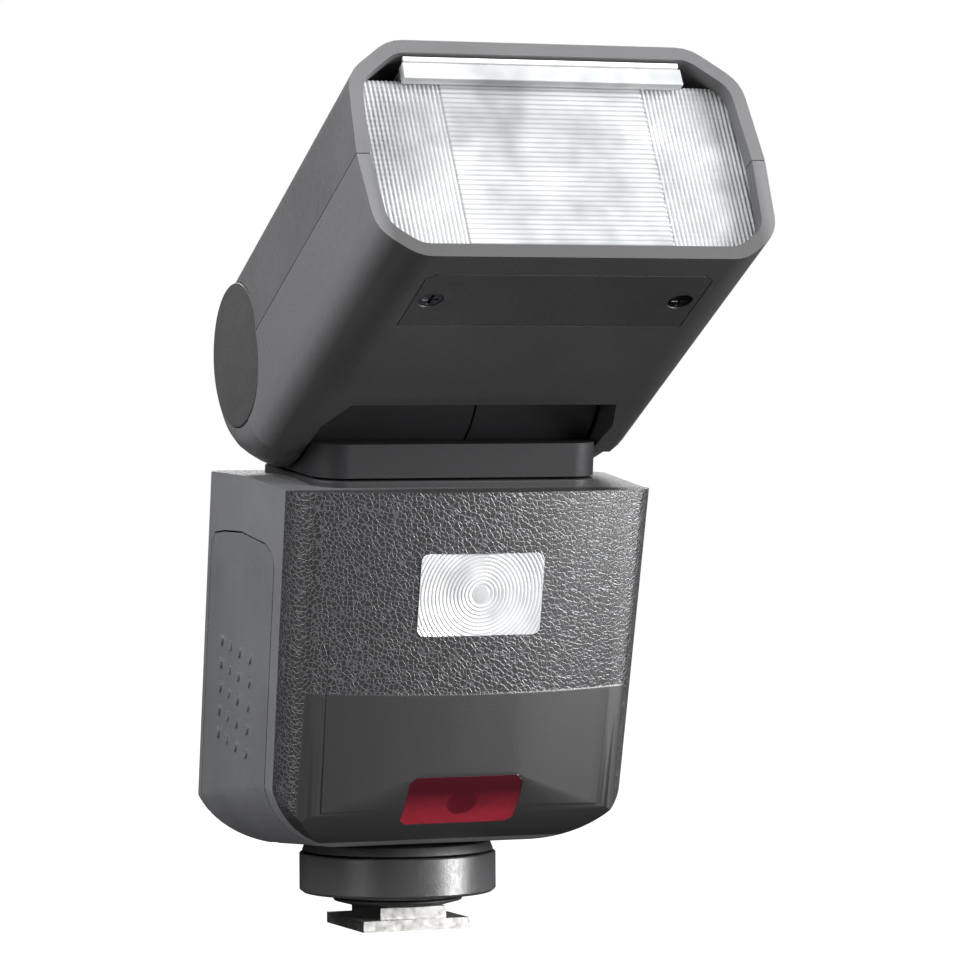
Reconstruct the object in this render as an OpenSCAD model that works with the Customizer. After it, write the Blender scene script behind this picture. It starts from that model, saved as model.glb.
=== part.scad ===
// Compact speedlight flash: shoe foot with lock ring, leaning body, swivel and tilting zoom head.
// Units are millimetres.  Z is up, the head and the modelling light face -Y, and the origin is
// the middle of the underside of the shoe foot.

/* [Shoe foot] */
// Width of the shoe foot across the rails
foot_w = 18.6; // [18.4:0.05:18.7]
// Length of the shoe foot along the rails
foot_l = 18.0; // [17:0.5:18.5]
// Thickness of the foot plate
foot_t = 1.8; // [1.5:0.05:2.0]
// Width of the neck above the foot plate
neck_w = 11.5; // [10:0.25:12.5]
// Length of the neck above the foot plate
neck_l = 14.0; // [10:0.5:16]
// Top of the neck where the collar begins
neck_top = 3.7; // [3.4:0.1:4.2]
// Diameter of the locking pin
lock_pin_d = 1.9; // [1.5:0.1:2.2]
// Distance of the locking pin in front of the foot centre
lock_pin_y = 6.0; // [5.6:0.05:6.1]

/* [Lock ring] */
// Outside radius of the lock ring
ring_r = 16.3; // [15:0.1:17]
// Lower edge of the plain band of the ring
ring_z0 = 6.1; // [5.8:0.1:7]
// Top of the lock ring
ring_z1 = 12.4; // [11:0.1:12.5]
// Radius of the fixed barrel the ring turns on
barrel_r = 9.0; // [8.5:0.1:9.5]

/* [Body] */
// Forward lean of the whole body
lean = 12.2; // [8:0.1:15]
// Half width at the front corner of the side wall
body_hw_front = 30.6; // [28:0.1:32]
// Half width at the ridge where the shells meet
body_hw_ridge = 31.3; // [29:0.1:33]
// Half width at the rear corner
body_hw_rear = 30.5; // [28:0.1:32]
// Side taper towards the foot, each side
body_taper = 1.16; // [0:0.02:2]
// Radius of the crown across the front face
crown_r = 112; // [80:1:112]
// Radius of the upright front corners
corner_r = 6; // [4:0.5:8]
// Radius of the lower side corners
belly_r = 14; // [8:0.5:15]
// Wall thickness of the body shells
wall = 1.8; // [1.5:0.1:2.4]

/* [Body windows] */
// Width of the modelling light window
led_w = 20.8; // [18:0.1:24]
// Height of the modelling light window
led_h = 13.4; // [10:0.1:16]
// Rounding of the window corners
led_r = 1.3; // [0.5:0.1:3]
// Height of the modelling light centre in the leaning body
led_z = 63.0; // [58:0.5:68]
// Width of the focus assist window
af_w = 19.4; // [16:0.1:24]
// Height of the focus assist window
af_h = 10.0; // [8:0.1:12]

/* [Rear controls] */
// Width of the display glass
lcd_w = 38; // [30:1:44]
// Height of the display glass
lcd_h = 27; // [20:1:30]
// Radius of the select dial
dial_r = 10; // [8:0.5:12]
// Push of each key
key_travel = 0.6; // [0.3:0.1:1]

/* [Swivel] */
// Forward lean of the swivel axis
swivel_lean = 5.7; // [0:0.1:10]
// Distance of the swivel axis in front of the foot centre
swivel_y = 15.5; // [12:0.5:18]
// Height where the swivel axis crosses the turning gap
swivel_z = 75.85; // [74:0.05:78]
// Width of the swivel collar
collar_w = 48.4; // [44:0.2:48.4]
// Depth of the swivel collar
collar_d = 31; // [26:0.5:34]
// Height of the swivel collar
collar_h = 5.4; // [4:0.1:7]
// Height of the turning gap under the collar
swivel_gap = 0.4; // [0.3:0.1:0.8]
// Radius of the tilt drum
drum_r = 16.2; // [14:0.1:17]

/* [Head] */
// Tilt of the head above level as built
head_tilt = 28; // [0:1:60]
// Height of the tilt axis
hinge_z = 94.3; // [93.5:0.1:96]
// Distance of the tilt axis in front of the foot centre
hinge_y = 15.57; // [14:0.01:17]
// Distance from the tilt axis to the front rim
head_len = 65.1; // [60:0.1:72]
// Half width of the head at the seam
head_hw = 33.3; // [31:0.1:36]
// Height of the head top above the tilt axis
head_up = 18.2; // [17.5:0.1:19]
// Depth of the head underside below the tilt axis
head_dn = 19.5; // [18.5:0.1:20.5]
// Height of the seam between the two head shells
head_seam = -1.9; // [-4:0.1:0]
// Radius of the round back of the head
back_r = 18.0; // [17.5:0.1:18.2]
// Wall thickness of the head shells
head_wall = 1.5; // [1.2:0.1:2]
// Rounding along the corners of the head
head_corner_r = 6.5; // [2.5:0.5:6.5]
// Radius of the side caps over the tilt axle
cap_r = 11.7; // [10:0.1:13]
// Half width of the slot that clears the drum
slot_hw = 24.9; // [24.6:0.1:26]
// Reach of the slot in front of the tilt axis
slot_v = 18.6; // [17:0.1:20]

/* [Hidden] */
$fn = 96;
// turn of each facet in the rounded corners of the head
corner_step = 13;
big = 90;
// overlap that makes a cut clean
eps = 0.01;
// radial clearance of a running fit
fit = 0.05;
// gap between pieces that move past each other
gap = 0.3;

// front-to-back stations of the leaning body
y_front = -26.3;
y_corner = -17.6;
y_ridge = 1.7;
y_rear = 22.5;
// the front panel ends just behind the corner, and the side shells meet just behind the ridge
y_split = y_corner + 0.6;
y_seam = y_ridge + 0.2;
// heights of the deck at those stations
z_front = 79.6;
z_corner = 78.0;
z_ridge = 76.5;
z_rear = 72.6;
// chin arc and heel arc of the side profile
chin_r = 20;
chin_z = 37;
heel_r = 11;
heel = [11.5, 23.04];
barrel_top = 18.9;
// battery door: front and rear edges, and how far it wraps under the belly
door_y0 = -13.3;
door_y1 = 18.8;
door_inner = 18.5;
// hinge pin of the battery door, in the frame of the belly
door_pin_x = -18.9;
door_pin_z = 14.9;
door_pin_r = 0.4;
door_pin_front = 14;
door_pin_rear = 4.6;
// grip studs on the door
stud_y = 10.1;
stud_z = 47.1;
stud_pitch_y = 4.85;
stud_pitch_z = 3.93;
// fall of the body underside towards the back, and its height over the foot centre
belly_fall = 3.6;
belly_z = 13.9;
belly_hw = 16.3;
// opening under the port cover
port_y0 = 6;
port_y1 = 15;
port_z0 = 36;
port_z1 = 60;
// places of the five shoe contacts
pin_sites = [[0, 0], [-2.7, 3.2], [2.7, 3.2], [-2.7, -2.2], [2.7, -2.2]];
// the plane where the two halves of the tilt drum meet
drum_split = 2.9;
// width of the open seam between the head shells and around the side caps
seam_gap = 0.15;
// how far the side caps stand in from the widest line of the head
cap_inset = 0.4;
// hub of each side cap and the tube it turns on
hub_r = 8.4;
axle_r = 5;
// levels inside the head, from the tilt axis
tray_z = 12.4;
lens_y = 60.2;
lens_t = 1.8;
carriage_y = 24;
tube_y = 30.5;
rod_x = 29.2;
rod_z = -12.6;
screw_x = -27.9;
screw_z = 6;

// ---------------------------------------------------------------- frames

module leaned() { rotate([lean, 0, 0]) children(); }

module swivel_frame() {
    translate([0, -swivel_y, swivel_z]) rotate([swivel_lean, 0, 0]) children();
}

module head_frame() {
    translate([0, -hinge_y, hinge_z]) rotate([-head_tilt, 0, 0]) children();
}

module along_x(len) { rotate([90, 0, 90]) linear_extrude(height = len, center = true) children(); }

module along_y(len) { rotate([90, 0, 0]) linear_extrude(height = len, center = true) children(); }

module rod_x_axis(r, x0, x1) { translate([x0, 0, 0]) rotate([0, 90, 0]) cylinder(r = r, h = x1 - x0); }

module rod_y_axis(r, y0, y1) { translate([0, y0, 0]) rotate([-90, 0, 0]) cylinder(r = r, h = y1 - y0); }

module span(x0, x1, y0, y1, z0, z1) { translate([x0, y0, z0]) cube([x1 - x0, y1 - y0, z1 - z0]); }

module round_box(w, d, h, r) {
    union() {
        translate([-w / 2 + r, -d / 2, 0]) cube([w - 2 * r, d, h]);
        translate([-w / 2, -d / 2 + r, 0]) cube([w, d - 2 * r, h]);
        for (sx = [-1, 1], sy = [-1, 1])
            translate([sx * (w / 2 - r), sy * (d / 2 - r), 0]) cylinder(r = r, h = h);
    }
}

// ---------------------------------------------------------------- body form

module side_profile(i) {
    polygon([[y_front + i, z_front - i], [y_front + i, chin_z], [-14.9 + i / 2, 19.0 + i],
        [8.5, 12.46 + i], [heel[0], heel[1]], [y_rear - i, heel[1]], [y_rear - i, z_rear - i],
        [20.4, 72.9 - i], [1.1, z_ridge - i], [-16.2, z_corner - i]]);
    translate([y_front + chin_r, chin_z]) circle(r = chin_r - i);
    translate(heel) circle(r = heel_r - i);
}

module plan_limit(i) {
    cx = body_hw_front - corner_r;
    polygon([[-big, -60], [cx, -60], [cx, y_corner], [body_hw_front - i, y_corner],
        [body_hw_ridge - i, y_ridge], [body_hw_rear - i, 20.8], [body_hw_rear - 1.6 - i, y_rear - i],
        [-big, y_rear - i]]);
    translate([cx, y_corner]) circle(r = corner_r - i);
}

module belly_outline(i) {
    hw = belly_hw + belly_r;
    polygon([[-big, belly_r], [-hw + i, belly_r], [-hw + belly_r, belly_r], [-hw + belly_r, i],
        [hw - belly_r, i], [hw - belly_r, belly_r], [hw - i, belly_r], [big, belly_r],
        [big, big], [-big, big]]);
    for (s = [-1, 1]) translate([s * belly_hw, belly_r]) circle(r = belly_r - i);
}

module body_form(i = 0) {
    intersection() {
        leaned() intersection() {
            along_x(2 * big) side_profile(i);
            translate([0, 0, z_corner]) rotate([0, body_taper, 0])
                translate([0, 0, -z_corner - 20]) linear_extrude(height = 120) plan_limit(i);
            mirror([1, 0, 0]) translate([0, 0, z_corner]) rotate([0, body_taper, 0])
                translate([0, 0, -z_corner - 20]) linear_extrude(height = 120) plan_limit(i);
            translate([0, y_front + crown_r + i, 0]) cylinder(r = crown_r, h = big, $fn = 180);
        }
        rotate([-belly_fall, 0, 0]) translate([0, 0, belly_z])
            rotate([90, 0, 0]) linear_extrude(height = 120, center = true) belly_outline(i);
    }
}

module door_zone(g = 0) {
    // outline of the battery door seen from the left, in the leaning body; the opening keeps
    // clear of the hinge edge and of the lower front corner, which swing past it
    hinge_room = g > 0 ? 0.8 : 0;
    corner_room = g > 0 ? 0 : 0.6;
    rotate([90, 0, 90]) translate([0, 0, -45])
        linear_extrude(height = 45 - door_inner + hinge_room)
        polygon([[door_y0 - g, 24], [door_y0 - g + corner_room, 10], [door_y0 - g + corner_room, 0],
            [door_y1 + g, 0], [door_y1 + g, 61.2], [door_y1 - 1.6, 63.2 + g],
            [12, 64.7 + g], [y_ridge, 66.9 + g], [-9, 67.5 + g], [door_y0 + 1, 66.7 + g],
            [door_y0 - g, 64.8]]);
}

module body_skin() {
    difference() {
        body_form(0);
        body_form(wall);
        // seat of the lock ring and its fixed barrel
        translate([0, 0, -1]) cylinder(r = ring_r + 0.5, h = 15.3);
        cylinder(r = 9.5, h = 30);
        // seat of the swivel pedestal
        swivel_frame() translate([0, 0, -6]) round_box(collar_w, collar_d, 20, 5);
        // battery door opening
        leaned() door_zone(gap);
        // wells for the body screws
        screw_sites() cylinder(r = 1.6, h = 8, center = true);
    }
}

module screw_sites() {
    for (s = [-1, 1]) translate([s * 12.6, 10.6, 17.0]) children();
}

// ---------------------------------------------------------------- body nodes

module front_shell() {
    color("#3b3c3e") intersection() {
        body_skin();
        leaned() span(-big, big, y_split, y_seam, -20, big + 20);
    }
}

module rear_shell() {
    color("#404144") difference() {
        intersection() {
            body_skin();
            leaned() span(-big, big, y_seam, big, -20, big + 20);
        }
        leaned() {
            // display window (the glass fills it)
            span(-lcd_w / 2, lcd_w / 2, 18, 30, 70 - lcd_h, 70);
            // dial, keys and switch
            translate([0, 0, 30]) rod_y_axis(dial_r + gap, 18, 30);
            for (s = [-1, 1]) span_key(s, gap);
            test_site() rod_y_axis(2.6 + gap, 18, 30);
            span(14 - gap, 22 + gap, 18, 30, 22.5 - gap, 26.5 + gap);
            // sockets and their cover on the right side
            span(20, 40, port_y0 - gap, port_y1 + gap, port_z0 - gap, port_z1 + gap);
        }
    }
}

module span_key(s, g) {
    span(s * 20 - 4 - g, s * 20 + 4 + g, 18, 30, 33.5 - g, 38.5 + g);
}

module test_site() { translate([-18, 0, 22]) children(); }

module led_block(y0, y1) {
    // rounded block that fills the window from y0 back to y1
    translate([0, y1, led_z]) rotate([90, 0, 0])
        round_box(led_w, led_h, y1 - y0, led_r);
}

module led_space() { leaned() led_block(-30, -20); }

module af_frame() {
    // the focus assist window lies on the chin
    leaned() translate([0, -24.3, 28.4]) rotate([26, 0, 0]) children();
}

module af_zone(g) {
    w = af_w / 2 - g;
    h = af_h / 2 - g;
    c = 1.1;
    af_frame() rotate([90, 0, 0]) linear_extrude(height = 12, center = true)
        polygon([[w, h - c], [w - c, h], [c - w, h], [-w, h - c], [-w, c - h], [c - w, -h],
            [w - c, -h], [w, c - h]]);
}

module front_panel() {
    color("#2c2d2f") difference() {
        intersection() {
            body_skin();
            leaned() span(-big, big, -big, y_split, -20, big + 20);
        }
        led_space();
        af_zone(0);
    }
}

module deck_pedestal() {
    color("#3a3b3d") swivel_frame() difference() {
        translate([0, 0, -6]) round_box(collar_w, collar_d, 6 - swivel_gap / 2, 5);
        translate([0, 0, -7]) cylinder(r = 7 + fit, h = 8);
    }
}

module modelling_lens() {
    color("#eceff1") leaned() difference() {
        led_block(y_front + 0.2, y_front + 2.4);
        // stepped rings of the lens
        for (i = [1:9]) translate([0, 0, led_z]) difference() {
            rod_y_axis(i, y_front - 0.6, y_front + 0.5);
            rod_y_axis(i - 0.35, y_front - 1, y_front + 1);
        }
    }
}

module modelling_led_board() {
    color("#d8d4c8") leaned() union() {
        span(-9, 9, -21.6, -20.4, led_z - 6, led_z + 6);
        translate([0, 0, led_z]) rod_y_axis(3.4, -22.4, -21.6);
    }
}

module af_window() {
    color("#5c0d18") intersection() {
        difference() {
            body_form(0);
            body_form(1.4);
        }
        af_zone(0);
    }
}

module af_emitter() {
    color("#1a1a1c") af_frame() union() {
        span(-8.5, 8.5, 5.0, 6.0, -4.2, 4.2);
        rod_y_axis(2.6, 2.6, 5.0);
    }
}

module main_frame() {
    color("#2a2b2d") difference() {
        union() {
            leaned() {
                span(-7.6, 23.2, -13.5, 15, 23.0, 24.5);
                span(-7.6, -6.2, -14, 15, 23.0, 66);
            }
            // column that ties the chassis to the shoe barrel
            translate([0, 0, barrel_top]) intersection() {
                cylinder(r = barrel_r, h = 8);
                translate([0, 0, -barrel_top]) leaned() span(-big, big, -big, big, 0, 24.5);
            }
        }
        cylinder(r = 5.2, h = 30);
    }
}

module main_board() {
    color("#1f5a35") leaned() span(-5.5, 25, 15.6, 16.9, 27, 69);
}

module power_board() {
    color("#1f5a35") leaned() span(-5.6, -4.2, -14, 15, 26, 64);
}

module main_capacitor() {
    color("#26292e") leaned() translate([12.5, -2.5, 24.5]) cylinder(r = 11, h = 40);
}

module transformer() {
    color("#a8843a") leaned() union() {
        span(-1, 11, 9, 15, 25, 37);
        span(1, 9, 8.3, 9, 27, 35);
    }
}

module battery_pack() {
    color("#33363c") leaned() difference() {
        span(-26.6, -8.4, -12, 16.5, 26.0, 64);
        span(-28, -26.1, -6, 10, 40, 52);
    }
}

module battery_contacts() {
    color("#c9a648") leaned() union() {
        for (y = [-6, 2, 10]) span(-22, -12, y - 1.2, y + 1.2, 64, 64.6);
        span(-23, -11, -9, 13, 64.6, 65.6);
    }
}

module display_module() {
    color("#202225") leaned() span(-18.5, 18.5, 17.3, 20.2, 70.5 - lcd_h, 69.5);
}

module display_glass() {
    color("#101214") leaned() span(-lcd_w / 2, lcd_w / 2, 20.3, y_rear, 70 - lcd_h, 70);
}

module usb_socket() {
    color("#9a9ea3") leaned() difference() {
        span(21, 28.2, 8.7, 12.3, 48, 57);
        span(22, 28.3, 9.3, 11.7, 48.6, 56.4);
    }
}

module sync_socket() {
    color("#2a2b2d") leaned() translate([0, 10.5, 42]) difference() {
        rod_x_axis(3, 18, 28.2);
        rod_x_axis(1.3, 20, 28.3);
    }
}

module body_screws() {
    color("#6a6d72") screw_sites() translate([0, 0, -1.8]) difference() {
        cylinder(r = 1.55, h = 3.4);
        translate([-1.2, -0.2, -eps]) cube([2.4, 0.4, 0.7]);
        translate([-0.2, -1.2, -eps]) cube([0.4, 2.4, 0.7]);
    }
}

// ---------------------------------------------------------------- shoe

module shoe_barrel() {
    color("#1c1d1f") difference() {
        rotate_extrude() polygon([[4.6, neck_top], [8.0, neck_top], [10.7, 4.4], [10.7, 4.9],
            [barrel_r, 4.9], [barrel_r, 12.7], [15.9, 12.7], [15.3, 14.2], [9.4, 14.2],
            [9.4, 18.9], [4.6, 18.9]]);
        translate([0, -lock_pin_y, neck_top - 1]) cylinder(r = lock_pin_d / 2 + fit, h = 12);
    }
}

module foot_plate() {
    color("#c3c6ca") difference() {
        union() {
            translate([-foot_w / 2, -foot_l / 2, 0]) cube([foot_w, foot_l, foot_t]);
            translate([-neck_w / 2, -neck_l / 2 - 0.4, foot_t]) cube([neck_w, neck_l, neck_top - foot_t]);
        }
        translate([-4.4, -4.6, -1]) cube([8.8, 10.2, 8]);
        translate([0, -lock_pin_y, -1]) cylinder(r = lock_pin_d / 2 + fit, h = 8);
    }
}

module contact_block() {
    color("#151617") difference() {
        union() {
            translate([-4.4, -4.6, 0.6]) cube([8.8, 10.2, neck_top - 0.6]);
            translate([0, 0, neck_top]) cylinder(r = 4.55, h = 8);
        }
        for (p = pin_sites) translate([p[0], p[1], 0]) {
            translate([0, 0, -1]) cylinder(r = 0.8 + fit, h = 20, $fn = 32);
            translate([0, 0, 1.8]) cylinder(r = 1.25, h = 2, $fn = 32);
        }
        translate([0, 0, neck_top]) cylinder(r = 4.1, h = 5);
    }
}

module contact_pins() {
    color("#d2a94a") for (p = pin_sites) translate([p[0], p[1], 0]) union() {
        cylinder(r = 0.8, h = 2.9, $fn = 32);
        translate([0, 0, 2.2]) cylinder(r = 1.1, h = 0.7, $fn = 32);
    }
}

module lock_ring() {
    color("#4a4c4f") difference() {
        rotate_extrude() polygon([[barrel_r + fit, 5.2], [11.4, 5.2], [15.7, ring_z0 - 0.3],
            [16.1, ring_z0], [ring_r, ring_z0 + 0.2], [ring_r, ring_z1 - 0.2],
            [ring_r - 0.2, ring_z1], [barrel_r + fit, ring_z1]]);
        for (a = [0:45:315]) rotate([0, 0, a]) translate([13.6, -0.9, 5]) cube([1.4, 1.8, 0.9]);
    }
}

module lock_pin() {
    color("#b9bcc0") translate([0, -lock_pin_y, 0.2]) cylinder(r = lock_pin_d / 2, h = 9, $fn = 32);
}

// ---------------------------------------------------------------- battery door

module battery_door() {
    color("#3e3f42") difference() {
        union() {
            intersection() {
                difference() {
                    body_form(0);
                    body_form(wall - 0.2);
                }
                leaned() door_zone(0);
            }
            // grip studs
            leaned() for (c = [0:3], r = [0:4])
                translate([-30.55 + 0.078 * r, stud_y - stud_pitch_y * c, stud_z - stud_pitch_z * r + 0.2 * c])
                    rod_x_axis(0.85, c == 2 ? -0.4 : -0.2, 0.9, $fn = 32);
        }
        translate([0, 0, -1]) cylinder(r = ring_r + 0.5, h = 15.3);
        door_hinge() {
            rod_y_axis(door_pin_r + fit, -door_pin_front - gap, door_pin_rear + gap);
            span(-1.2, 1, 2, 6, -2, 3);
        }
    }
}

module door_hinge() {
    rotate([-belly_fall, 0, 0]) translate([door_pin_x, 0, door_pin_z]) children();
}

module door_slider() {
    color("#55585c") union() {
        leaned() span(-24, -18.6, 2, 10, 19.4, 20.4);
        leaned() span(-24, -23, 2, 10, 20.4, 25.4);
        door_hinge() rod_y_axis(door_pin_r, -door_pin_front, door_pin_rear);
        door_hinge() span(-0.3, 0.3, 2.4, 4.9, 0, 6.8);
    }
}

// ---------------------------------------------------------------- controls

module port_cover() {
    color("#26272a") leaned() intersection() {
        upright() difference() {
            body_form(0);
            body_form(1.5);
        }
        span(20, 40, port_y0, port_y1, port_z0, port_z1);
    }
}

module upright() { rotate([-lean, 0, 0]) children(); }

module select_dial() {
    color("#2b2c2e") leaned() translate([0, 0, 30]) difference() {
        rod_y_axis(dial_r, 20.4, 24.0);
        rod_y_axis(4.3, 20, 25);
        for (a = [0:10:350]) rotate([0, a, 0]) translate([dial_r, 0, 0])
            rod_y_axis(0.35, 20, 25);
    }
}

module set_button() {
    color("#55585c") leaned() translate([0, 0, 30]) rod_y_axis(4.0, 20.2, 23.6);
}

module key_left() { color("#333437") leaned() rear_key(-1); }

module key_right() { color("#333437") leaned() rear_key(1); }

module rear_key(s) {
    intersection() {
        span_key(s, 0);
        span(-big, big, 20.4, 23.3, 0, big);
    }
}

module test_button() { color("#c9c9c9") leaned() test_site() rod_y_axis(2.6, 20.4, 23.3); }

module power_switch() {
    color("#333437") leaned() union() {
        span(14, 18.2, 20.4, 23.4, 22.5, 26.5);
        span(13.2, 19, 19.6, 20.4, 22.1, 26.9);
    }
}

// ---------------------------------------------------------------- swivel

module swivel_collar() {
    color("#3c3d40") difference() {
        swivel_frame() difference() {
            union() {
                translate([0, 0, swivel_gap / 2]) round_box(collar_w, collar_d, collar_h, 5);
                translate([0, 0, -8.5]) cylinder(r = 7, h = 9);
            }
            translate([0, 0, -10]) cylinder(r = 5, h = 20);
        }
        hinge_at() rod_x_axis(drum_r, -big, big);
    }
}

module hinge_at() { translate([0, -hinge_y, hinge_z]) children(); }

module drum_half(x0, x1, x_end) {
    hinge_at() difference() {
        rod_x_axis(drum_r, x0, x1);
        rod_x_axis(drum_r - 2.2, min(x0, x1) - 1 + (x_end > 0 ? 0 : 3), max(x0, x1) + 1 - (x_end > 0 ? 3 : 0));
        rod_x_axis(axle_r, -big, big);
    }
}

module drum_left() { color("#37383b") drum_half(-collar_w / 2 + 0.2, drum_split - 0.15, -1); }

module drum_right() { color("#37383b") drum_half(drum_split + 0.15, collar_w / 2 - 0.2, 1); }

module swivel_nut() {
    color("#8e9297") swivel_frame() translate([0, 0, -8.5]) difference() {
        cylinder(r = 10, h = 2);
        translate([0, 0, -1]) cylinder(r = 7, h = 4);
    }
}

module tilt_axle() {
    color("#8e9297") hinge_at() difference() {
        rod_x_axis(axle_r, -30.4, 30.4);
        rod_x_axis(3.2, -40, 40);
    }
}

// ---------------------------------------------------------------- head form

// direction square to the edge that starts at point k, out of a polygon given anticlockwise
function edge_out(p, k) =
    let (d = p[(k + 1) % len(p)] - p[k % len(p)])
    [d[1], -d[0]] / norm(d);

// the points of a polygon with each corner cut in facets to a radius, pulled in by i
function faceted(p, r, i) =
    [for (k = [0:len(p) - 1])
        let (n0 = edge_out(p, k + len(p) - 1), n1 = edge_out(p, k))
        let (mid = p[k] - (n0 + n1) * r / (1 + n0 * n1))
        let (a0 = atan2(n0[1], n0[0]), turn = acos(min(1, n0 * n1)))
        let (steps = max(1, round(turn / corner_step)))
        for (j = [0:steps])
            mid + (r - i) * [cos(a0 + turn * j / steps), sin(a0 + turn * j / steps)]];

module head_section(i) {
    polygon(faceted([[24.7, head_up], [-24.7, head_up], [-32.3, 12.1], [-head_hw, head_seam],
        [-32.5, -14.9], [-26.4, -head_dn], [26.4, -head_dn], [32.5, -14.9],
        [head_hw, head_seam], [32.3, 12.1]], head_corner_r, i));
}

module back_profile(i) {
    // turned section of the round back: width across, radius up
    intersection() {
        polygon(faceted([[26.3, back_r], [-26.3, back_r], [-32.5, 14.5], [-head_hw, 2],
            [-head_hw, -12], [head_hw, -12], [head_hw, 2], [32.5, 14.5]], head_corner_r, i));
        translate([-big, 0]) square([2 * big, big]);
    }
}

module head_form(i = 0) {
    intersection() {
        union() {
            difference() {
                along_y_span(-head_len - 1, 0) head_section(i);
                // rise of the underside towards the back
                translate([0, -22, -head_dn + i]) rotate([4, 0, 0])
                    translate([-big, 0, -10]) cube([2 * big, 60, 10]);
            }
            rotate([0, 90, 0]) rotate_extrude() rotate([0, 0, -90])
                back_profile(i);
        }
        along_y_span(-head_len - 1, 40) head_section(i);
    }
}

module along_y_span(y0, y1) {
    translate([0, y1, 0]) rotate([90, 0, 0]) linear_extrude(height = y1 - y0) children();
}

module slot_zone() {
    intersection() {
        along_x(2 * slot_hw) polygon([[-slot_v, -30], [-slot_v, -10], [0, 0], [17.2, 24.6],
            [32, 24.6], [32, -30]]);
        translate([0, 0, -big]) linear_extrude(height = 2 * big)
            polygon([[slot_hw, big], [-slot_hw, big], [-slot_hw, -10.5], [-22.4, -slot_v],
                [22.4, -slot_v], [slot_hw, -10.5]]);
    }
    along_x(2 * slot_hw) circle(r = drum_r + 0.4);
}

module head_skin() {
    difference() {
        union() {
            difference() {
                head_form(0);
                head_form(head_wall);
            }
            // cheek walls beside the drum and the front rim
            intersection() {
                head_form(0);
                union() {
                    for (s = [-1, 1]) translate([s * (slot_hw + 0.7) - 0.7, -20, -30])
                        cube([1.4, 60, 60]);
                    along_y_span(-head_len, -62.4) head_section(0);
                }
            }
        }
        // window in the front rim
        along_y_span(-head_len - 2, -61.9) head_section(2.2);
        translate([0, -head_len - 10, 0]) span(-big, big, -10, 10, -big, big);
        slot_zone();
        // seats of the side caps and their hubs
        for (s = [-1, 1]) mirror([s < 0 ? 1 : 0, 0, 0]) {
            rod_x_axis(cap_r, 31.0, big);
            rod_x_axis(hub_r, 20, 32);
        }
    }
}

module upper_zone() { span(-big, big, -big, big, head_seam, big); }

module lower_zone() { span(-big, big, -big, big, -big, head_seam - seam_gap); }

module cover_zone(g) {
    along_z_poly = [[-23.4 - g, -44.2 + g], [-23.4 - g, -58.4 - g], [-21.8 - g, -59.8 - g],
        [21.8 + g, -59.8 - g], [23.4 + g, -58.4 - g], [23.4 + g, -44.2 + g]];
    translate([0, 0, -head_dn - 1]) linear_extrude(height = 1 + 0.9) polygon(along_z_poly);
}

module cover_screw_sites() {
    for (s = [-1, 1]) translate([s * 20.4, -52, -head_dn]) children();
}

module head_upper_shell() {
    color("#37383b") head_frame() intersection() {
        head_skin();
        upper_zone();
    }
}

module head_lower_shell() {
    color("#2f3033") head_frame() difference() {
        intersection() {
            head_skin();
            lower_zone();
        }
        cover_zone(0);
        cover_screw_sites() cylinder(r = 1.3, h = 10, center = true);
    }
}

module hinge_cap(s) {
    head_frame() mirror([s < 0 ? 1 : 0, 0, 0]) difference() {
        union() {
            rod_x_axis(cap_r - seam_gap, 31.0, head_hw - cap_inset);
            rod_x_axis(hub_r, slot_hw + 0.1, 31.0);
        }
        rod_x_axis(axle_r + fit, 20, 30.9);
        rod_x_axis(axle_r + 0.5, 30.4, 30.9);
    }
}

module hinge_cap_left() { color("#3d3e41") hinge_cap(-1); }

module hinge_cap_right() { color("#3d3e41") hinge_cap(1); }

module service_cover() {
    color("#2b2c2e") head_frame() difference() {
        intersection() {
            cover_zone(-0.15);
            translate([0, 0, -head_dn]) span(-big, big, -big, big, 0, 5);
        }
        cover_screw_sites() cylinder(r = 2.0, h = 10, center = true);
    }
}

module cover_screws() {
    color("#5a5d62") head_frame() cover_screw_sites() difference() {
        union() {
            translate([0, 0, 0.15]) cylinder(r = 1.9, h = 0.75);
            translate([0, 0, 0.9]) cylinder(r = 1.25, h = 4);
        }
        translate([-1.3, -0.25, 0]) cube([2.6, 0.5, 0.6]);
        translate([-0.25, -1.3, 0]) cube([0.5, 2.6, 0.6]);
    }
}

module fresnel_lens() {
    color("#f2f4f5") head_frame() difference() {
        intersection() {
            along_y_span(-lens_y - lens_t, -lens_y) head_section(head_wall);
            span(-big, big, -big, 0, -big, 12.9);
        }
        // ribs across the middle
        for (z = [-16:1:12]) span(-14, 14, -lens_y - lens_t - 0.3, -lens_y - lens_t + 0.3, z, z + 0.4);
    }
}

module head_board() {
    color("#1f5a35") head_frame() span(-20, 20, -44, -22, -17.2, -16.0);
}

module zoom_motor() {
    color("#a9adb2") head_frame() translate([screw_x, 0, screw_z]) union() {
        rod_y_axis(2.6, -28.5, -20.6);
        span(-2.2, 2.2, -30, -28.5, -2.6, 2.6);
    }
}

module guide_rods() {
    color("#c9ccd0") head_frame() for (s = [-1, 1])
        translate([s * rod_x, 0, rod_z]) rod_y_axis(0.75, -60, -20);
}

module panel_tray() {
    color("#232426") head_frame() span(-24, 24, -59.8, -21, tray_z, tray_z + 0.6);
}

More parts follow.
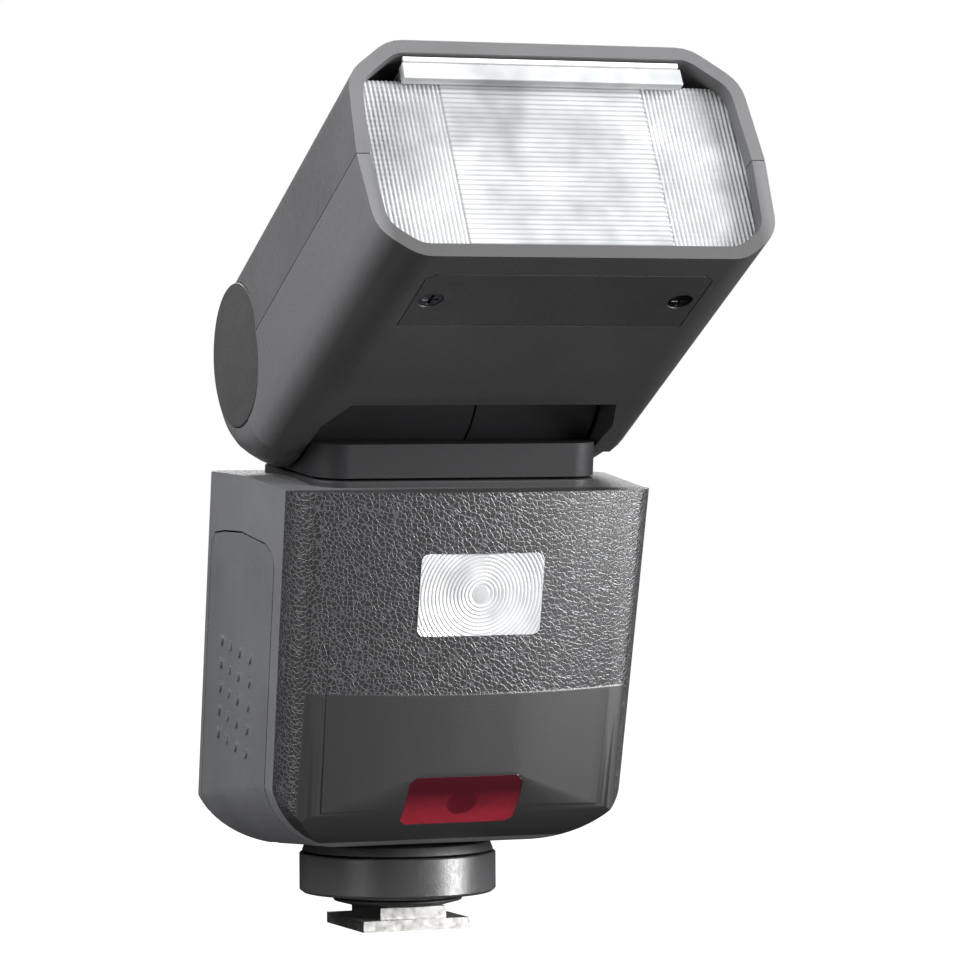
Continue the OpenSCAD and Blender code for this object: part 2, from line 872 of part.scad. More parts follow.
module zoom_carriage() {
    y0 = -carriage_y - 4;
    y1 = -carriage_y + 0.8;
    nut_y0 = -carriage_y - 12.5;
    nut_y1 = -carriage_y - 8.6;
    color("#1d1e20") head_frame() difference() {
        union() {
            span(-25.1, 25.1, y0, y1, -13, -11.6);
            for (s = [-1, 1]) {
                translate([s * rod_x, 0, rod_z]) rod_y_axis(1.5, y0 - 4, y1);
                span(s * 26.4 - 1.6, s * 26.4 + 1.6, y0 - 4, y1, -13, -11.6);
                span(s * 24.4 - 0.7, s * 24.4 + 0.7, y0, y1, -13, 8.2);
            }
            // nut arm on the lead screw
            span(-25.1, -23.7, nut_y0, y1, screw_z - 1.5, screw_z + 1.5);
            span(-27.5, -23.7, nut_y0, nut_y1, screw_z - 1.5, screw_z + 1.5);
            translate([screw_x, 0, screw_z]) rod_y_axis(2.2, nut_y0, nut_y1);
        }
        for (s = [-1, 1]) translate([s * rod_x, 0, rod_z]) rod_y_axis(0.75 + fit, -70, 0);
        translate([screw_x, 0, screw_z]) rod_y_axis(1.3 + fit, -70, 0);
    }
}

// ---------------------------------------------------------------- zoom optics

module bowl(i) {
    // cross-section of the trough reflector, depth against height
    polygon([[-tube_y + 5.2 - i, 0], [-tube_y + 4.4 - i, 4 - 0.6 * i], [-tube_y + 1.6, 7 - i],
        [-tube_y - 3, 9.6 - i], [-tube_y - 9, 11.4 - i], [-tube_y - 13.5, 12 - i],
        [-tube_y - 13.5, -12 + i], [-tube_y - 9, -11.4 + i], [-tube_y - 3, -9.6 + i],
        [-tube_y + 1.6, -7 + i], [-tube_y + 4.4 - i, -4 + 0.6 * i]]);
}

module reflector() {
    color("#e4e6e8") head_frame() difference() {
        along_x(47.4) bowl(0);
        along_x(45.4) bowl(0.8);
        translate([0, -tube_y - 15, 0]) span(-22.7, 22.7, -2, 3, -11, 11);
        translate([0, -tube_y, 0]) rod_x_axis(2.3, -30, 30);
    }
}

module flash_tube() {
    color("#f4f6f8") head_frame() translate([0, -tube_y, 0]) union() {
        rod_x_axis(1.75, -21.5, 21.5);
        rod_x_axis(2.25, -23.7, -21.5);
        rod_x_axis(2.25, 21.5, 23.7);
    }
}

module zoom_screw() {
    color("#b7babe") head_frame() translate([screw_x, 0, screw_z]) difference() {
        rod_y_axis(1.3, -59.4, -30.4);
        // slot in the free end
        span(-0.2, 0.2, -60, -58.8, -2, 2);
    }
}

module diffuser_panel() {
    color("#dfe5e8") head_frame() union() {
        span(-22.6, 22.6, -62.6, -24, tray_z + 0.9, tray_z + 1.9);
        span(-22.9, 22.9, -64.4, -62.6, tray_z - 0.5, tray_z + 2.3);
    }
}

module bounce_card() {
    color("#f5f5f3") head_frame() union() {
        span(-22, 22, -64.1, -25, tray_z + 2.7, tray_z + 3.2);
        // finger lip along the front edge
        span(-22.6, 22.6, -64.4, -63.8, tray_z + 2.6, tray_z + 3.3);
    }
}

front_shell();
rear_shell();
front_panel();
deck_pedestal();
modelling_lens();
modelling_led_board();
af_window();
af_emitter();
main_frame();
main_board();
power_board();
main_capacitor();
transformer();
battery_pack();
battery_contacts();
display_module();
display_glass();
usb_socket();
sync_socket();
body_screws();
shoe_barrel();
foot_plate();
contact_block();
lock_ring();
lock_pin();
contact_pins();
door_slider();
battery_door();
port_cover();
select_dial();
set_button();
key_left();
key_right();
test_button();
power_switch();
swivel_collar();
drum_left();
drum_right();
swivel_nut();
tilt_axle();
head_upper_shell();
head_lower_shell();
hinge_cap_left();
hinge_cap_right();
service_cover();
cover_screws();
fresnel_lens();
head_board();
zoom_motor();
guide_rods();
panel_tray();
zoom_carriage();
reflector();
flash_tube();
zoom_screw();
diffuser_panel();
bounce_card();
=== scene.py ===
"""Speedlight flash: camera, light, materials and the finely shaped pieces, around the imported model."""
import math

import bmesh
import bpy
from mathutils import Matrix, Vector


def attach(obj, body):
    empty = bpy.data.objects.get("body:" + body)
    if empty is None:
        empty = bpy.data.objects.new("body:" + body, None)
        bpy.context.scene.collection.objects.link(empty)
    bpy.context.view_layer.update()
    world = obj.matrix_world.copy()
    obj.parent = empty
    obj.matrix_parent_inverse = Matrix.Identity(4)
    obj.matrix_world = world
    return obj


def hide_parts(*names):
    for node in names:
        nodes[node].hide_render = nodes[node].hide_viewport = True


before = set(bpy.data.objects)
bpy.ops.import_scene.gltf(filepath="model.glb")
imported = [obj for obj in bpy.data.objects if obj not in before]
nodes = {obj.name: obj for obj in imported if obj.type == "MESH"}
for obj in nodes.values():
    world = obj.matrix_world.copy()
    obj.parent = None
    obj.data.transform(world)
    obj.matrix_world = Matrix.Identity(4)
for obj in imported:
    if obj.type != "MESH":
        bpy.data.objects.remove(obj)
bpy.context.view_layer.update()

MM = 0.001
LEAN = math.radians(12.2)
TILT = math.radians(28)
TILT_AXIS = Vector((0, -15.57, 94.3)) * MM

# the leaning body and the tilted head, as frames whose y runs back and whose z runs up
BODY = Matrix.Rotation(LEAN, 4, "X")
HEAD = Matrix.Translation(TILT_AXIS) @ Matrix.Rotation(-TILT, 4, "X")

# half width of the band of level ribs on the head lens
FRESNEL_BAND = 16.6
# spacing of its level ribs and of the upright ribs beside them
LEVEL_PITCH, UPRIGHT_PITCH = 0.85, 0.72
# height, slope and emitter radius of the focus assist window on the chin
AF_MIDDLE, AF_EMITTER = 28.4, 2.5
AF_SLOPE = math.radians(26)
# centre height, first radius and spacing of the rings on the modelling light
LED_MIDDLE, RING_START, RING_PITCH = 63.0, 1.5, 0.62


# ---------------------------------------------------------------- camera and light

def aim(obj, place, target):
    """Stands obj at place, looking along its own -Z at target."""
    obj.location = place
    obj.rotation_euler = (Vector(target) - Vector(place)).to_track_quat("-Z", "Y").to_euler()


def add_camera():
    azimuth, elevation, roll = math.radians(-21.452), math.radians(0.5795), math.radians(-0.3269)
    data = bpy.data.cameras.new("camera")
    data.lens = 170.316
    data.sensor_width = 36.0
    data.clip_start = 0.01
    data.clip_end = 20.0
    camera = bpy.data.objects.new("camera", data)
    turn = (Matrix.Rotation(azimuth, 4, "Z") @ Matrix.Rotation(math.pi / 2 - elevation, 4, "X")
            @ Matrix.Rotation(roll, 4, "Z"))
    camera.matrix_world = Matrix.Translation((-0.26244, -0.70633, 0.08145)) @ turn
    bpy.context.scene.collection.objects.link(camera)
    bpy.context.scene.camera = camera


def softbox(name, azimuth, elevation, distance, width, height, watts):
    """A rectangular soft light aimed at the middle of the flash."""
    middle = Vector((0, -20, 75)) * MM
    a, e = math.radians(azimuth), math.radians(elevation)
    way = Vector((math.sin(a) * math.cos(e), -math.cos(a) * math.cos(e), math.sin(e)))
    data = bpy.data.lights.new(name, "AREA")
    data.shape = "RECTANGLE"
    data.size = width
    data.size_y = height
    data.energy = watts
    light = bpy.data.objects.new(name, data)
    aim(light, middle + way * distance, middle)
    bpy.context.scene.collection.objects.link(light)


def add_lights():
    softbox("key_left", -76, 34, 0.40, 0.26, 0.26, 4.0)
    softbox("edge_left", -66, 2, 0.60, 0.16, 0.06, 0.9)
    softbox("front_top", 5, 46, 0.85, 0.60, 0.45, 5.0)
    softbox("wall_right", 50, 6, 0.70, 0.30, 0.55, 26.0)
    softbox("rim_back", 165, 40, 0.80, 0.60, 0.40, 6.0)
    softbox("fill_front", 20, 0, 1.00, 0.36, 0.20, 0.45)
    world = bpy.data.worlds.new("studio")
    world.use_nodes = True
    back = world.node_tree.nodes["Background"]
    back.inputs["Color"].default_value = (1, 1, 1, 1)
    back.inputs["Strength"].default_value = 1.0
    world.cycles_visibility.diffuse = False
    world.cycles_visibility.glossy = False
    bpy.context.scene.world = world
    bpy.context.scene.view_settings.view_transform = "Standard"


def add_floor():
    mesh = bpy.data.meshes.new("floor")
    size = 6.0
    corners = [(-size, -size, 0), (size, -size, 0), (size, size, 0), (-size, size, 0)]
    mesh.from_pydata(corners, [], [(0, 1, 2, 3)])
    floor = bpy.data.objects.new("floor", mesh)
    bpy.context.scene.collection.objects.link(floor)
    material, tree, shader = new_material("floor_paper", (0.02, 0.02, 0.02), 0.9)
    shader.inputs["Emission Color"].default_value = (1, 1, 1, 1)
    shader.inputs["Emission Strength"].default_value = 1.0
    mesh.materials.append(material)
    floor.visible_glossy = False


# ---------------------------------------------------------------- node helpers

def new_material(name, colour, rough, **sockets):
    """A material with one Principled shader; sockets are further constants, by their names."""
    material = bpy.data.materials.new(name)
    material.use_nodes = True
    tree = material.node_tree
    shader = tree.nodes["Principled BSDF"]
    shader.inputs["Base Color"].default_value = (*colour, 1)
    shader.inputs["Roughness"].default_value = rough
    for key, value in sockets.items():
        shader.inputs[key.replace("_", " ")].default_value = value
    return material, tree, shader


def node(tree, kind, **settings):
    made = tree.nodes.new("ShaderNode" + kind)
    for key, value in settings.items():
        setattr(made, key, value)
    return made


def object_coords(tree, rotation=(0, 0, 0), scale=(1, 1, 1)):
    coords = node(tree, "TexCoord")
    mapping = node(tree, "Mapping")
    mapping.inputs["Rotation"].default_value = rotation
    mapping.inputs["Scale"].default_value = scale
    tree.links.new(coords.outputs["Object"], mapping.inputs["Vector"])
    return mapping.outputs["Vector"]


def noise(tree, vector, scale, detail=2.0, roughness=0.5):
    made = node(tree, "TexNoise")
    made.inputs["Scale"].default_value = scale
    made.inputs["Detail"].default_value = detail
    made.inputs["Roughness"].default_value = roughness
    tree.links.new(vector, made.inputs["Vector"])
    return made.outputs["Fac"]


def remap(tree, value, low, high, to_low, to_high):
    made = node(tree, "MapRange")
    for key, number in zip(("From Min", "From Max", "To Min", "To Max"), (low, high, to_low, to_high)):
        made.inputs[key].default_value = number
    tree.links.new(value, made.inputs["Value"])
    return made.outputs["Result"]


def maths(tree, operation, a, b=0.0, clamp=False):
    made = node(tree, "Math", operation=operation, use_clamp=clamp)
    for socket, value in zip(made.inputs, (a, b)):
        if isinstance(value, (int, float)):
            socket.default_value = value
        else:
            tree.links.new(value, socket)
    return made.outputs[0]


def axes(tree, vector):
    """The x, y and z parts of a vector."""
    split = node(tree, "SeparateXYZ")
    tree.links.new(vector, split.inputs[0])
    return split.outputs["X"], split.outputs["Y"], split.outputs["Z"]


def diagonal(tree, a, b):
    """Length of the diagonal over a and b."""
    return maths(tree, "SQRT", maths(tree, "ADD", maths(tree, "POWER", a, 2.0),
                                     maths(tree, "POWER", b, 2.0)))


def blend_colour(tree, factor, dark, light):
    made = node(tree, "Mix", data_type="RGBA")
    made.inputs[6].default_value = (*dark, 1)
    made.inputs[7].default_value = (*light, 1)
    tree.links.new(factor, made.inputs[0])
    return made.outputs[2]


def bump(tree, height, distance, strength=1.0, under=None):
    made = node(tree, "Bump")
    made.inputs["Distance"].default_value = distance
    made.inputs["Strength"].default_value = strength
    tree.links.new(height, made.inputs["Height"])
    if under is not None:
        tree.links.new(under, made.inputs["Normal"])
    return made.outputs["Normal"]


def scaled(colour, k):
    return tuple(min(1.0, c * k) for c in colour)


# ---------------------------------------------------------------- materials

def satin(name, colour, rough=0.42, grain=0.00002, grain_scale=5200, patch=0.10, **sockets):
    """Moulded plastic with a fine sparked grain, faint patches of tone and of gloss."""
    material, tree, shader = new_material(name, colour, rough, **sockets)
    at = object_coords(tree)
    fine = noise(tree, at, grain_scale, 2.0)
    broad = noise(tree, at, 55, 3.0)
    tone = blend_colour(tree, remap(tree, broad, 0.3, 0.7, 0, 1),
                        scaled(colour, 1 - patch), scaled(colour, 1 + patch))
    tree.links.new(tone, shader.inputs["Base Color"])
    tree.links.new(remap(tree, noise(tree, at, 1300, 2.0), 0.3, 0.7, rough - 0.05, rough + 0.06),
                   shader.inputs["Roughness"])
    tree.links.new(bump(tree, fine, grain), shader.inputs["Normal"])
    return material


def head_lower(name, colour, rough):
    """Satin of the lower head shell: coloured darker as painted shade below, with painted light lifting it
    towards the side walls.
    """
    material = satin(name, colour, rough)
    tree = material.node_tree
    shader = tree.nodes["Principled BSDF"]
    tone = shader.inputs["Base Color"].links[0].from_socket
    x = axes(tree, object_coords(tree))[0]
    # painted light: the colour is raised up to three times towards the side walls, where light falls on
    # them
    side = remap(tree, maths(tree, "ABSOLUTE", x), 29.5 * MM, 32.0 * MM, 0, 1)
    painted_side_light = node(tree, "Mix", data_type="RGBA")
    painted_side_light.inputs[7].default_value = (*scaled(colour, 3.0), 1)
    tree.links.new(side, painted_side_light.inputs[0])
    tree.links.new(tone, painted_side_light.inputs[6])
    tree.links.new(painted_side_light.outputs[2], shader.inputs["Base Color"])
    return material


def metal(name, colour, rough=0.28, stretch=(1, 1, 1), scratch=0.000002, scale=900):
    """Plated or machined metal: fine marks run along the way that stretch leaves long."""
    material, tree, shader = new_material(name, colour, rough, Metallic=1.0)
    at = object_coords(tree, scale=stretch)
    marks = noise(tree, at, scale, 4.0, 0.65)
    tree.links.new(remap(tree, marks, 0.3, 0.7, rough * 0.8, rough * 1.25), shader.inputs["Roughness"])
    tone = blend_colour(tree, remap(tree, noise(tree, at, 120, 3.0), 0.3, 0.7, 0, 1),
                        scaled(colour, 0.82), scaled(colour, 1.08))
    tree.links.new(tone, shader.inputs["Base Color"])
    tree.links.new(bump(tree, marks, scratch), shader.inputs["Normal"])
    return material


def leather_panel():
    """Front of the body: leather grain all over, but for a smooth satin field below."""
    colour = (0.015, 0.015, 0.016)
    material, tree, shader = new_material("leather_panel", colour, 0.40)
    at = object_coords(tree, rotation=(-LEAN, 0, 0))
    x, _, z = axes(tree, at)

    # signed reach into the smooth field, whose lower corners are round
    half_width, top, bottom, corner = 27.3 * MM, 46.8 * MM, 13.5 * MM, 9.0 * MM
    across = maths(tree, "SUBTRACT", maths(tree, "ABSOLUTE", x), half_width - corner)
    down = maths(tree, "SUBTRACT", bottom + corner, z)
    beyond = diagonal(tree, maths(tree, "MAXIMUM", across, 0.0), maths(tree, "MAXIMUM", down, 0.0))
    inside = maths(tree, "SUBTRACT", corner, beyond)
    below = maths(tree, "SUBTRACT", top, z)
    reach = maths(tree, "MINIMUM", inside, below)
    smooth = remap(tree, reach, -0.15 * MM, 0.15 * MM, 0, 1)
    rough_part = maths(tree, "SUBTRACT", 1.0, smooth)

    # grain: flat cells parted by narrow creases, bent by a slower noise
    bend = node(tree, "TexNoise")
    bend.inputs["Scale"].default_value = 900
    tree.links.new(at, bend.inputs["Vector"])
    push = node(tree, "VectorMath", operation="SCALE")
    push.inputs["Scale"].default_value = 0.4 * MM
    tree.links.new(bend.outputs["Color"], push.inputs[0])
    shifted = node(tree, "VectorMath", operation="ADD")
    tree.links.new(at, shifted.inputs[0])
    tree.links.new(push.outputs[0], shifted.inputs[1])
    cells = node(tree, "TexVoronoi", feature="DISTANCE_TO_EDGE")
    cells.inputs["Scale"].default_value = 1350
    tree.links.new(shifted.outputs[0], cells.inputs["Vector"])
    cell_top = remap(tree, cells.outputs["Distance"], 0.0, 0.11, 0, 1)
    crease = maths(tree, "MULTIPLY", maths(tree, "SUBTRACT", 1.0, cell_top), rough_part)
    grain = maths(tree, "SUBTRACT", 1.0, crease)
    fine = noise(tree, at, 5200, 2.0)
    base = bump(tree, fine, 0.00002)
    field = bump(tree, smooth, 0.00005, under=base)
    tree.links.new(bump(tree, grain, 0.000028, 1.0, under=field), shader.inputs["Normal"])
    # painted highlight: the creases are coloured up to three times lighter than the cells, for the light
    # their edges catch
    tone = blend_colour(tree, crease, scaled(colour, 0.8), scaled(colour, 3.0))
    tree.links.new(tone, shader.inputs["Base Color"])
    tree.links.new(remap(tree, smooth, 0, 1, 0.36, 0.44), shader.inputs["Roughness"])
    return material


def clear_ribbed(name, colour, rough=0.16, through=0.25, lines=None):
    """Clear acrylic against the bright part behind it, its colour patched with a painted reflection of
    that part; lines(tree) gives painted shade in its grooves, 0 to 1.
    """
    material, tree, shader = new_material(name, colour, rough, IOR=1.49, Transmission_Weight=through)
    at = object_coords(tree)
    # painted reflection: slow patches of lighter and darker colour stand in for the bright part seen
    # through the acrylic
    painted_light_patches = remap(tree, noise(tree, at, 45, 3.0, 0.6), 0.36, 0.64, 0.1, 0.9)
    if lines is not None:
        painted_light_patches = maths(tree, "MULTIPLY", painted_light_patches, lines(tree))
    # the colour runs from 0.35 to 1.2 times its own, painting the reflection patches and the groove shade
    tone = blend_colour(tree, painted_light_patches, scaled(colour, 0.35), scaled(colour, 1.2))
    tree.links.new(tone, shader.inputs["Base Color"])
    tree.links.new(remap(tree, noise(tree, at, 800, 2.0), 0.3, 0.7, rough * 0.7, rough * 1.3),
                   shader.inputs["Roughness"])
    return material


def groove(tree, value, pitch):
    """0 in the grooves of ribs that repeat every pitch along value, 1 on their crowns."""
    wave = maths(tree, "ABSOLUTE", maths(tree, "SINE", maths(tree, "MULTIPLY", value, math.pi / pitch)))
    return remap(tree, wave, 0.05, 0.55, 0.3, 1)


def fresnel_groove_shade(tree):
    """Painted shade in the grooves of the head lens: level ribs across its middle band, upright ones in
    the two side bands.
    """
    place = node(tree, "VectorMath", operation="SUBTRACT")
    place.inputs[1].default_value = TILT_AXIS
    tree.links.new(object_coords(tree), place.inputs[0])
    turn = node(tree, "Mapping")
    turn.inputs["Rotation"].default_value = (TILT, 0, 0)
    tree.links.new(place.outputs[0], turn.inputs["Vector"])
    x, _, z = axes(tree, turn.outputs["Vector"])
    past = maths(tree, "SUBTRACT", maths(tree, "ABSOLUTE", x), FRESNEL_BAND * MM)
    level = groove(tree, z, LEVEL_PITCH * MM)
    upright = groove(tree, past, UPRIGHT_PITCH * MM)
    outside = maths(tree, "GREATER_THAN", past, 0.0)
    # painted shade: darker along the line where the middle band meets the side bands
    at_edge = remap(tree, maths(tree, "ABSOLUTE", past), 0.1 * MM, 0.3 * MM, 0.35, 1)
    side = maths(tree, "MULTIPLY", outside, upright)
    middle = maths(tree, "MULTIPLY", maths(tree, "SUBTRACT", 1.0, outside), level)
    return maths(tree, "MULTIPLY", maths(tree, "ADD", side, middle), at_edge)


def ring_groove_shade(tree):
    """Painted shade in the ring grooves of the modelling light lens, with a grey disc in the middle."""
    x, _, z = axes(tree, object_coords(tree, rotation=(-LEAN, 0, 0)))
    radius = diagonal(tree, x, maths(tree, "SUBTRACT", z, LED_MIDDLE * MM))
    steps = maths(tree, "DIVIDE", maths(tree, "SUBTRACT", radius, RING_START * MM), RING_PITCH * MM)
    phase = maths(tree, "FRACT", steps)
    rings = remap(tree, phase, 0.0, 0.45, 0.35, 1)
    disc = remap(tree, radius, (RING_START - 0.1) * MM, RING_START * MM, 0.35, 1)
    fade = remap(tree, radius, RING_START * MM, 10 * MM, 1.0, 0.6)
    return maths(tree, "MULTIPLY", maths(tree, "MULTIPLY", rings, disc), fade)


def red_window():
    """Dark red filter of the focus assist lamp, frosted on its back, with a painted glow lighter towards
    its lower edge.
    """
    colour = (0.050, 0.005, 0.009)
    material, tree, shader = new_material("red_window", colour, 0.22, Coat_Weight=0.6, Coat_Roughness=0.08)
    at = object_coords(tree, rotation=(-LEAN, 0, 0))
    x, _, z = axes(tree, at)
    # painted glow: the red grows lighter towards the lower edge of the window, in slow patches, as if lit
    # from within
    painted_glow = remap(tree, z, 30.5 * MM, 24.0 * MM, 0, 1)
    painted_light_patches = noise(tree, at, 260, 3.0)
    fade = maths(tree, "MULTIPLY", painted_glow, remap(tree, painted_light_patches, 0.2, 0.8, 0.6, 1.4), clamp=True)
    # the dark emitter shows through as a disc in the middle
    up = maths(tree, "DIVIDE", maths(tree, "SUBTRACT", z, AF_MIDDLE * MM), math.cos(AF_SLOPE))
    disc = remap(tree, diagonal(tree, x, up), (AF_EMITTER - 0.2) * MM, (AF_EMITTER + 0.3) * MM, 0.25, 1)
    fade = maths(tree, "MULTIPLY", fade, disc)
    tone = blend_colour(tree, fade, scaled(colour, 0.5), (0.17, 0.011, 0.020))
    tree.links.new(tone, shader.inputs["Base Color"])
    tree.links.new(bump(tree, noise(tree, at, 2600, 2.0), 0.00003), shader.inputs["Normal"])
    return material


# ---------------------------------------------------------------- finish of the CAD nodes

# edges that turn further than this are rounded and stay crisp
SHARP = math.radians(38)


def shading_group():
    """Geometry nodes that smooth every face and keep the sharp edges."""
    group = bpy.data.node_groups.new("smooth_by_angle", "GeometryNodeTree")
    group.interface.new_socket("Geometry", in_out="INPUT", socket_type="NodeSocketGeometry")
    group.interface.new_socket("Geometry", in_out="OUTPUT", socket_type="NodeSocketGeometry")
    add = group.nodes.new
    start, end = add("NodeGroupInput"), add("NodeGroupOutput")
    drop = add("GeometryNodeRemoveAttribute")
    drop.inputs["Name"].default_value = "custom_normal"
    faces = add("GeometryNodeSetShadeSmooth")
    edges = add("GeometryNodeSetShadeSmooth")
    edges.domain = "EDGE"
    edges.inputs["Shade Smooth"].default_value = False
    angle = add("GeometryNodeInputMeshEdgeAngle")
    sharp = add("FunctionNodeCompare")
    sharp.data_type = "FLOAT"
    sharp.operation = "GREATER_THAN"
    sharp.inputs[1].default_value = SHARP
    link = group.links.new
    link(start.outputs[0], drop.inputs["Geometry"])
    link(drop.outputs["Geometry"], faces.inputs["Geometry"])
    link(faces.outputs["Geometry"], edges.inputs["Geometry"])
    link(angle.outputs["Unsigned Angle"], sharp.inputs[0])
    link(sharp.outputs["Result"], edges.inputs["Selection"])
    link(edges.outputs["Geometry"], end.inputs[0])
    return group


SMOOTH = shading_group()


def dress(name, material, edge=0.25):
    """Gives a CAD node its material, rounds its sharp edges by edge millimetres and smooths it."""
    piece = nodes[name]
    if not piece.material_slots:
        piece.data.materials.append(material)
    for held in piece.material_slots:
        held.link = "OBJECT"
        held.material = material
    weld = piece.modifiers.new("weld", "WELD")
    weld.merge_threshold = 0.000008
    flat = piece.modifiers.new("flat", "DECIMATE")
    flat.decimate_type = "DISSOLVE"
    flat.angle_limit = math.radians(0.6)
    if edge:
        bevel = piece.modifiers.new("edges", "BEVEL")
        bevel.width = edge * MM
        bevel.segments = 3
        bevel.limit_method = "ANGLE"
        bevel.angle_limit = SHARP
        bevel.use_clamp_overlap = True
    shade = piece.modifiers.new("shade", "NODES")
    shade.node_group = SMOOTH
    weigh = piece.modifiers.new("normals", "WEIGHTED_NORMAL")
    weigh.keep_sharp = True
    weigh.weight = 80


def dress_all():
    side = satin("satin_side", (0.066, 0.067, 0.069), 0.46)
    body = satin("satin_body", (0.060, 0.061, 0.064), 0.44)
    deck = satin("satin_deck", (0.014, 0.014, 0.015), 0.50, Specular_IOR_Level=0.15)
    collar = satin("satin_collar", (0.010, 0.010, 0.011), 0.55, grain=0.00001, grain_scale=3600,
                   Specular_IOR_Level=0.12)
    drum = satin("satin_drum", (0.010, 0.010, 0.011), 0.42, Specular_IOR_Level=0.3)
    head_top = satin("satin_head", (0.050, 0.050, 0.052), 0.44)
    cap = satin("satin_cap", (0.030, 0.030, 0.031), 0.42)
    # painted shade: the lower head shell is coloured darker than the upper one, for the shade on the
    # underside
    head_under_painted_shading = head_lower("satin_under_painted_shading", (0.020, 0.020, 0.021), 0.46)
    cover = satin("satin_cover", (0.016, 0.016, 0.017), 0.44, grain=0.00003)
    ring = satin("satin_ring", (0.026, 0.026, 0.027), 0.34)
    black = satin("matte_black", (0.008, 0.008, 0.008), 0.6)
    key = satin("key_satin", (0.030, 0.030, 0.032), 0.35)
    rubber = satin("rubber_cover", (0.018, 0.018, 0.019), 0.62, grain=0.00005, grain_scale=2400)
    nickel = metal("bright_nickel", (0.50, 0.495, 0.48), 0.34, scratch=0.0000003)
    steel = metal("ground_steel", (0.56, 0.57, 0.58), 0.26, stretch=(1, 0.1, 1))
    zinc = metal("black_zinc", (0.10, 0.10, 0.11), 0.34)
    gold = metal("gold_plate", (0.83, 0.62, 0.28), 0.24)
    polished = metal("polished_aluminium", (0.90, 0.91, 0.92), 0.16, scratch=0.000001)
    card = satin("white_card", (0.60, 0.60, 0.59), 0.55)
    mask = satin("board_mask", (0.02, 0.11, 0.045), 0.35)
    sleeve = satin("black_sleeve", (0.012, 0.013, 0.016), 0.3)
    wrap = satin("cell_wrap", (0.03, 0.035, 0.045), 0.35)
    copper = metal("wound_copper", (0.72, 0.42, 0.18), 0.34, stretch=(1, 1, 8), scratch=0.00004)
    clear = clear_ribbed("clear_acrylic", (0.50, 0.515, 0.52), through=0.5)
    glass_tube = satin("tube_glass", (0.75, 0.76, 0.77), 0.08)
    lcd = satin("display_glass", (0.006, 0.007, 0.008), 0.08, grain=0.000002, grain_scale=900,
                Coat_Weight=0.6)
    board_white = satin("led_board", (0.70, 0.68, 0.60), 0.5)

    dress("front_shell", side)
    dress("rear_shell", side)
    dress("battery_door", body, 0.3)
    dress("front_panel", leather_panel(), 0.25)
    dress("deck_pedestal", deck, 0.35)
    dress("af_window", red_window(), 0.2)
    for name in ("af_emitter", "main_frame", "panel_tray", "zoom_carriage", "contact_block",
                 "display_module"):
        dress(name, black, 0.1)
    for name in ("main_board", "power_board", "head_board"):
        dress(name, mask, 0.1)
    dress("modelling_led_board", board_white, 0.1)
    dress("main_capacitor", sleeve, 0.3)
    dress("transformer", copper, 0.2)
    dress("battery_pack", wrap, 0.4)
    dress("battery_contacts", gold, 0.05)
    dress("contact_pins", gold, 0.1)
    dress("display_glass", lcd, 0.2)
    for name in ("usb_socket", "lock_pin", "swivel_nut", "tilt_axle", "zoom_motor", "guide_rods",
                 "zoom_screw", "door_slider"):
        dress(name, steel, 0.08)
    dress("sync_socket", black, 0.1)
    for name in ("body_screws", "cover_screws"):
        dress(name, zinc, 0.08)
    dress("shoe_barrel", black, 0.2)
    dress("foot_plate", nickel, 0.18)
    dress("lock_ring", ring, 0.12)
    dress("port_cover", rubber, 0.25)
    dress("select_dial", key, 0.12)
    for name in ("set_button", "key_left", "key_right", "power_switch"):
        dress(name, key, 0.3)
    dress("test_button", card, 0.3)
    dress("swivel_collar", collar, 0.55)
    dress("drum_left", drum, 0.15)
    dress("drum_right", drum, 0.15)
    dress("head_upper_shell", head_top, 0.28)
    dress("head_lower_shell", head_under_painted_shading, 0.28)
    dress("hinge_cap_left", cap, 0.3)
    dress("hinge_cap_right", cap, 0.3)
    dress("service_cover", cover, 0.08)
    dress("reflector", polished, 0)
    dress("flash_tube", glass_tube, 0.1)
    dress("bounce_card", card, 0.08)
    return clear


# ---------------------------------------------------------------- clear pieces with real ribs

def plate(name, half_width, z0, z1, columns, rows, front, back, place):
    """A plate whose front stands at -front(x, z): half_width(z) gives its outline, place its frame."""
    bm = bmesh.new()
    layers = []
    for depth in (front, back):
        grid = []
        for r in range(rows + 1):
            z = z0 + (z1 - z0) * r / rows
            reach = half_width(z)
            line = []
            for c in range(columns + 1):
                x = reach * (2 * c / columns - 1)
                line.append(bm.verts.new(place @ Vector((x * MM, -depth(x, z) * MM, z * MM))))
            grid.append(line)
        layers.append(grid)
    near, far = layers
    for r in range(rows):
        for c in range(columns):
            bm.faces.new((near[r][c], near[r][c + 1], near[r + 1][c + 1], near[r + 1][c]))
            bm.faces.new((far[r][c], far[r + 1][c], far[r + 1][c + 1], far[r][c + 1]))
        for c in (0, columns):
            bm.faces.new((near[r][c], near[r + 1][c], far[r + 1][c], far[r][c]))
    for c in range(columns):
        for r in (0, rows):
            bm.faces.new((near[r][c], near[r][c + 1], far[r][c + 1], far[r][c]))
    bmesh.ops.recalc_face_normals(bm, faces=bm.faces)
    mesh = bpy.data.meshes.new(name)
    bm.to_mesh(mesh)
    bm.free()
    mesh.shade_smooth()
    piece = bpy.data.objects.new(name, mesh)
    bpy.context.scene.collection.objects.link(piece)
    return piece


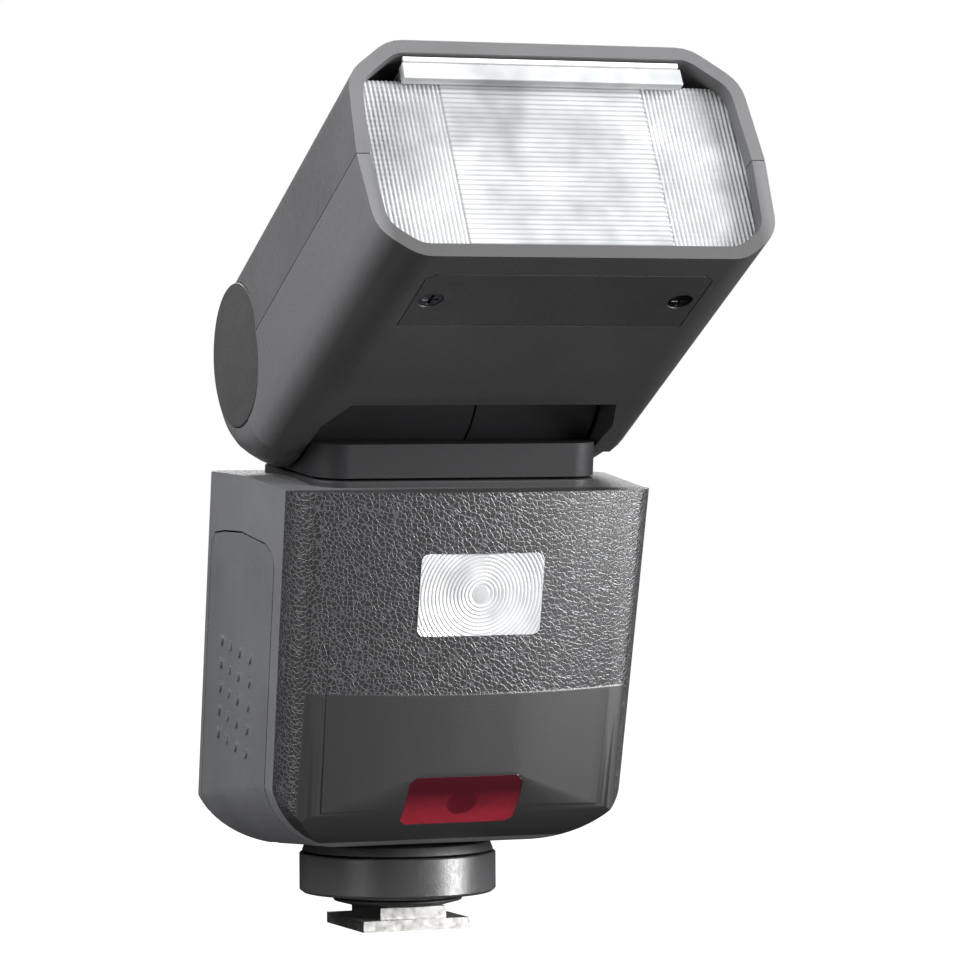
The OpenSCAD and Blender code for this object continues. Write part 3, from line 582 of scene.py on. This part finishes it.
def install(piece, material, body, node_name):
    piece.data.materials.append(material)
    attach(piece, body)
    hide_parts(node_name)
    return piece


def modelling_lens(material):
    half_w, half_h, corner, middle = 10.4, 6.7, 1.3, LED_MIDDLE
    depth, face, back = 0.16, 26.05, 23.9

    def half_width(z):
        over = abs(z - middle) - (half_h - corner)
        if over <= 0:
            return half_w
        return half_w - corner + math.sqrt(max(0.0, corner ** 2 - over ** 2)) + 0.001

    def front(x, z):
        radius = math.hypot(x, z - middle)
        if radius < RING_START:
            return face - 0.10 * (radius / RING_START) ** 2
        phase = (radius - RING_START) / RING_PITCH % 1.0
        return face - depth * (1 - phase) ** 1.5

    piece = plate("modelling_lens_rings", half_width, middle - half_h, middle + half_h,
                  260, 168, front, lambda x, z: back, BODY)
    return install(piece, material, "flash_body", "modelling_lens")


def fresnel_lens(material):
    depth, face, back = 0.2, 61.9, 60.2
    # height and half width at the points where the outline turns
    outline = [(-18.0, 24.0), (-16.6, 27.6), (-14.2, 31.0), (-1.9, 31.8), (11.4, 30.8), (12.9, 29.2)]

    def half_width(z):
        for (za, wa), (zb, wb) in zip(outline, outline[1:]):
            if z <= zb:
                return wa + (wb - wa) * (z - za) / (zb - za)
        return outline[-1][1]

    def front(x, z):
        level = abs(math.sin(math.pi * z / LEVEL_PITCH))
        past = abs(x) - FRESNEL_BAND
        if past > 0:
            upright = abs(math.sin(math.pi * past / UPRIGHT_PITCH))
            return face - depth * (1 - upright) - 0.07 * (1 - level)
        return face - 0.8 * depth * (1 - level)

    piece = plate("fresnel_lens_ribs", half_width, -18.0, 12.9, 500,
                  250, front, lambda x, z: back, HEAD)
    return install(piece, material, "head", "fresnel_lens")


# ---------------------------------------------------------------- the scene

add_camera()
add_lights()
add_floor()
clear = dress_all()
dress("diffuser_panel", clear, 0.3)
modelling_lens(clear_ribbed("ringed_acrylic", (0.74, 0.75, 0.76), rough=0.12, lines=ring_groove_shade))
fresnel_lens(clear_ribbed("ribbed_acrylic", (0.37, 0.38, 0.385), rough=0.16, lines=fresnel_groove_shade))
